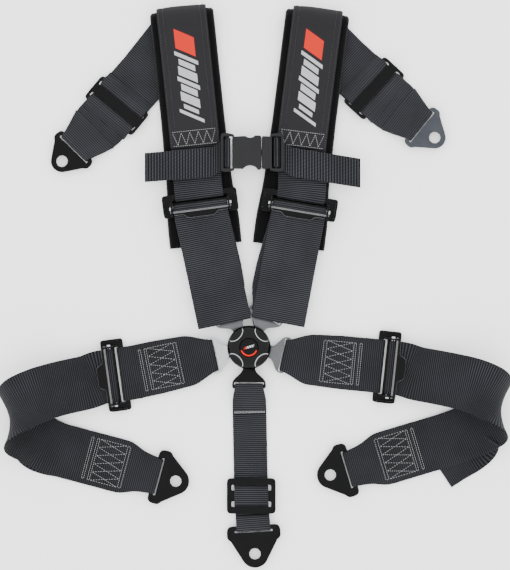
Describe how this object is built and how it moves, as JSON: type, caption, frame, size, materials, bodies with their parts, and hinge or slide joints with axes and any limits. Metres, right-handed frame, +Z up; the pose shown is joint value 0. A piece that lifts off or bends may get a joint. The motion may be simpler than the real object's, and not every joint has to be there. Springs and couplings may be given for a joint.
{
  "type": "racing harness",
  "caption": "Padded racing harness with wide shoulder, lap and crotch straps meeting in a rotary cam lock, with strap adjusters, slides, anchor brackets and a chest strap buckle.",
  "frame": {"origin": "on the ground under the middle of the harness, laid out flat", "axes": "+Z up from the ground, +Y towards the shoulder pads, +X towards the side on the right of the picture"},
  "size_m": [0.7208, 0.7956, 0.0648],
  "materials": {
    "webbing": "woven ribbed polyester",
    "pad_velour": "brushed velour",
    "pad_nylon": "smooth woven nylon",
    "buckle_plastic": "fine grained",
    "knob_gloss": "polished black",
    "badge_gloss": "clear domed badge",
    "black_steel": "black coating with bright worn edges",
    "grey_steel": "satin grey",
    "chrome_steel": "bright plated"
  },
  "bodies": {
    "lock": {"lock_back_cover": "black_steel", "lock_housing": "black_steel", "housing_screw_1": "chrome_steel", "housing_screw_2": "chrome_steel", "housing_screw_3": "chrome_steel", "housing_screw_4": "chrome_steel", "knob_return_spring": "chrome_steel", "crotch_lug": "black_steel", "crotch_strap": "webbing"},
    "knob": {"rotary_knob": "knob_gloss", "knob_badge": "badge_gloss", "knob_spindle": "chrome_steel"},
    "latch_pins": {"latch_pins": "chrome_steel"},
    "crotch_slide": {"crotch_slide": "black_steel", "crotch_slide_webbing": "webbing"},
    "crotch_bracket": {"crotch_bracket": "black_steel"},
    "chest_male": {"chest_buckle_male": "buckle_plastic", "right_chest_strap": "webbing"},
    "prong_upper": {"chest_buckle_prong_upper": "buckle_plastic"},
    "prong_lower": {"chest_buckle_prong_lower": "buckle_plastic"},
    "right_shoulder": {"right_shoulder_tongue": "grey_steel", "right_adjuster_frame": "black_steel", "right_adjuster_grip_bar": "chrome_steel", "right_belt": "webbing", "right_pad_base": "pad_velour", "right_pad_webbing": "webbing", "right_pad_panel": "pad_nylon", "right_anchor_strap": "webbing"},
    "right_shoulder_lever": {"right_adjuster_lever": "black_steel"},
    "right_slide": {"right_slide": "black_steel", "right_slide_webbing": "webbing"},
    "right_shoulder_bracket": {"right_shoulder_bracket": "grey_steel"},
    "right_lap": {"right_lap_tongue": "grey_steel", "right_lap_connector": "webbing", "right_lap_adjuster_frame": "black_steel", "right_lap_adjuster_grip_bar": "chrome_steel", "right_lap_belt": "webbing"},
    "right_lap_lever": {"right_lap_adjuster_lever": "black_steel"},
    "right_lap_bracket": {"right_lap_bracket": "grey_steel"},
    "left_shoulder": {"left_shoulder_tongue": "grey_steel", "left_adjuster_frame": "black_steel", "left_adjuster_grip_bar": "chrome_steel", "left_belt": "webbing", "left_pad_base": "pad_velour", "left_pad_webbing": "webbing", "left_pad_panel": "pad_nylon", "left_anchor_strap": "webbing", "chest_buckle_female": "buckle_plastic", "left_chest_strap": "webbing"},
    "left_shoulder_lever": {"left_adjuster_lever": "black_steel"},
    "left_slide": {"left_slide": "black_steel", "left_slide_webbing": "webbing"},
    "left_shoulder_bracket": {"left_shoulder_bracket": "black_steel"},
    "left_lap": {"left_lap_tongue": "chrome_steel", "left_lap_connector": "webbing", "left_lap_adjuster_frame": "black_steel", "left_lap_adjuster_grip_bar": "chrome_steel", "left_lap_belt": "webbing"},
    "left_lap_lever": {"left_lap_adjuster_lever": "black_steel"},
    "left_lap_bracket": {"left_lap_bracket": "black_steel"}
  },
  "joints": [
    {"name": "knob_turn", "type": "hinge", "parent": "lock", "child": "knob", "pos_m": [-0.00861, -0.0856, 0.0083], "axis": [0, 0, 1], "range_deg": [0, 40], "stiffness_Nm_per_rad": 0.08},
    {"name": "latch_lift", "type": "slide", "parent": "lock", "child": "latch_pins", "axis": [0, 0, 1], "range_m": [0, 0.0021], "stiffness_N_per_m": 15, "springref_m": 0.0109},
    {"name": "right_shoulder_release", "type": "slide", "parent": "lock", "child": "right_shoulder", "axis": [0.4695, 0.8829, 0], "range_m": [0, 0.014]},
    {"name": "right_lap_release", "type": "slide", "parent": "lock", "child": "right_lap", "axis": [0.9744, -0.225, 0], "range_m": [0, 0.014]},
    {"name": "right_shoulder_lever_lift", "type": "hinge", "parent": "right_shoulder", "child": "right_shoulder_lever", "pos_m": [0.06116, 0.1053, 0.0265], "axis": [-0.9863, 0.165, 0], "range_deg": [0, 50]},
    {"name": "right_lap_lever_lift", "type": "hinge", "parent": "right_lap", "child": "right_lap_lever", "pos_m": [0.19615, -0.11507, 0.0167], "axis": [-0.1045, -0.9945, 0], "range_deg": [0, 50]},
    {"name": "right_slide_travel", "type": "slide", "parent": "right_shoulder", "child": "right_slide", "axis": [0.7547, -0.6561, 0], "range_m": [0, 0.01]},
    {"name": "right_shoulder_bracket_swing", "type": "hinge", "parent": "right_shoulder", "child": "right_shoulder_bracket", "pos_m": [0.23201, 0.22852, 0.0056], "axis": [-0.6293, -0.7771, 0], "range_deg": [0, 75]},
    {"name": "right_lap_bracket_swing", "type": "hinge", "parent": "right_lap", "child": "right_lap_bracket", "pos_m": [0.13474, -0.25824, 0.0056], "axis": [-0.2874, 0.9578, 0], "range_deg": [0, 75]},
    {"name": "left_shoulder_release", "type": "slide", "parent": "lock", "child": "left_shoulder", "axis": [-0.5, 0.866, 0], "range_m": [0, 0.014]},
    {"name": "left_lap_release", "type": "slide", "parent": "lock", "child": "left_lap", "axis": [-0.9744, -0.225, 0], "range_m": [0, 0.014]},
    {"name": "left_shoulder_lever_lift", "type": "hinge", "parent": "left_shoulder", "child": "left_shoulder_lever", "pos_m": [-0.07615, 0.10827, 0.0265], "axis": [-0.9914, -0.1305, 0], "range_deg": [0, 50]},
    {"name": "left_lap_lever_lift", "type": "hinge", "parent": "left_lap", "child": "left_lap_lever", "pos_m": [-0.20665, -0.1268, 0.0167], "axis": [-0.1357, 0.9907, 0], "range_deg": [0, 50]},
    {"name": "left_slide_travel", "type": "slide", "parent": "left_shoulder", "child": "left_slide", "axis": [-0.6782, -0.7349, 0], "range_m": [0, 0.01]},
    {"name": "left_shoulder_bracket_swing", "type": "hinge", "parent": "left_shoulder", "child": "left_shoulder_bracket", "pos_m": [-0.25318, 0.19744, 0.0056], "axis": [-0.7108, 0.7034, 0], "range_deg": [0, 75]},
    {"name": "left_lap_bracket_swing", "type": "hinge", "parent": "left_lap", "child": "left_lap_bracket", "pos_m": [-0.14078, -0.26797, 0.0056], "axis": [-0.2571, -0.9664, 0], "range_deg": [0, 75]},
    {"name": "crotch_slide_travel", "type": "slide", "parent": "lock", "child": "crotch_slide", "axis": [0, 1, 0], "range_m": [-0.001, 0.012]},
    {"name": "crotch_bracket_swing", "type": "hinge", "parent": "lock", "child": "crotch_bracket", "pos_m": [-0.00241, -0.3414, 0.0056], "axis": [-0.9981, -0.061, 0], "range_deg": [0, 75]},
    {"name": "chest_release", "type": "slide", "parent": "right_shoulder", "child": "chest_male", "axis": [1, 0, 0], "range_m": [0, 0.03]},
    {"name": "prong_upper_squeeze", "type": "hinge", "parent": "chest_male", "child": "prong_upper", "pos_m": [0.00869, 0.1996, 0.0227], "axis": [0, 0, 1], "range_deg": [0, 7], "stiffness_Nm_per_rad": 0.02},
    {"name": "prong_lower_squeeze", "type": "hinge", "parent": "chest_male", "child": "prong_lower", "pos_m": [0.00869, 0.1756, 0.0227], "axis": [0, 0, -1], "range_deg": [0, 7], "stiffness_Nm_per_rad": 0.02}
  ],
  "couplings": [
    {"joint": "latch_lift", "follows": "knob_turn", "m_per_rad": 0.002865},
    {"joint": "left_shoulder_release", "follows": "right_shoulder_release", "ratio": 1}
  ]
}
